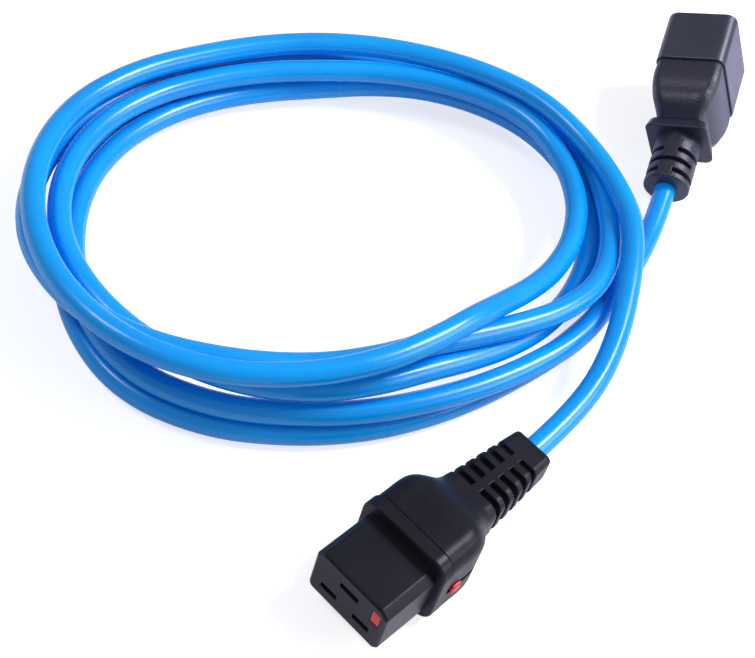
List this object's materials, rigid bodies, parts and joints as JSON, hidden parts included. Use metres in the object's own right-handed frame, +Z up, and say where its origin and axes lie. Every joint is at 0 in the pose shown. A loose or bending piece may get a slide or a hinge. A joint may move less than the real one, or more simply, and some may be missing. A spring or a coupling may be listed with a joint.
{
  "type": "c19 power connector",
  "caption": "Moulded line socket with a rectangular nose, slot contacts, a red sliding lock release and a ribbed strain relief, on a loosely coiled round cord ending in a shrouded plug.",
  "frame": {"origin": "bottom centre of the connector's own box, from the mating face to the end of its strain relief, without cord and plug", "axes": "-Y out of the mating face, +Y along the cord's way out, +Z up from the flat underside with the earth slot uppermost, +X towards the lock release"},
  "size_m": [0.2226, 0.3017, 0.0467],
  "materials": {
    "hard_black": "fine satin moulding",
    "soft_black": "satin soft PVC overmould",
    "natural_nylon": "satin",
    "spring_steel": "satin",
    "lock_red": "semi gloss",
    "brass": "rolled",
    "plated_pin": "bright nickel plating",
    "cord_blue": "satin PVC sheath",
    "core_brown": "satin PVC",
    "core_blue": "satin PVC",
    "core_green": "satin PVC"
  },
  "bodies": {
    "connector": {"socket_block": "hard_black", "contact_carrier": "natural_nylon", "lock_plate": "spring_steel", "slider_spring": "spring_steel", "connector_body": "soft_black", "line_contact": "brass", "neutral_contact": "brass", "earth_contact": "brass", "line_core": "core_brown", "neutral_core": "core_blue", "earth_core": "core_green", "cord_lead": "cord_blue", "cord_coil": "cord_blue", "cord_tail": "cord_blue", "plug_shroud": "hard_black", "plug_body": "soft_black", "plug_line_pin": "plated_pin", "plug_neutral_pin": "plated_pin", "plug_earth_pin": "plated_pin", "plug_line_core": "core_brown", "plug_neutral_core": "core_blue", "plug_earth_core": "core_green"},
    "lock_release": {"lock_slider": "lock_red"}
  },
  "joints": [
    {"name": "release_slide", "type": "slide", "parent": "connector", "child": "lock_release", "axis": [0, 1, 0], "range_m": [0, 0.0045], "stiffness_N_per_m": 600, "springref_m": -0.002, "deforming": ["slider_spring"]}
  ]
}
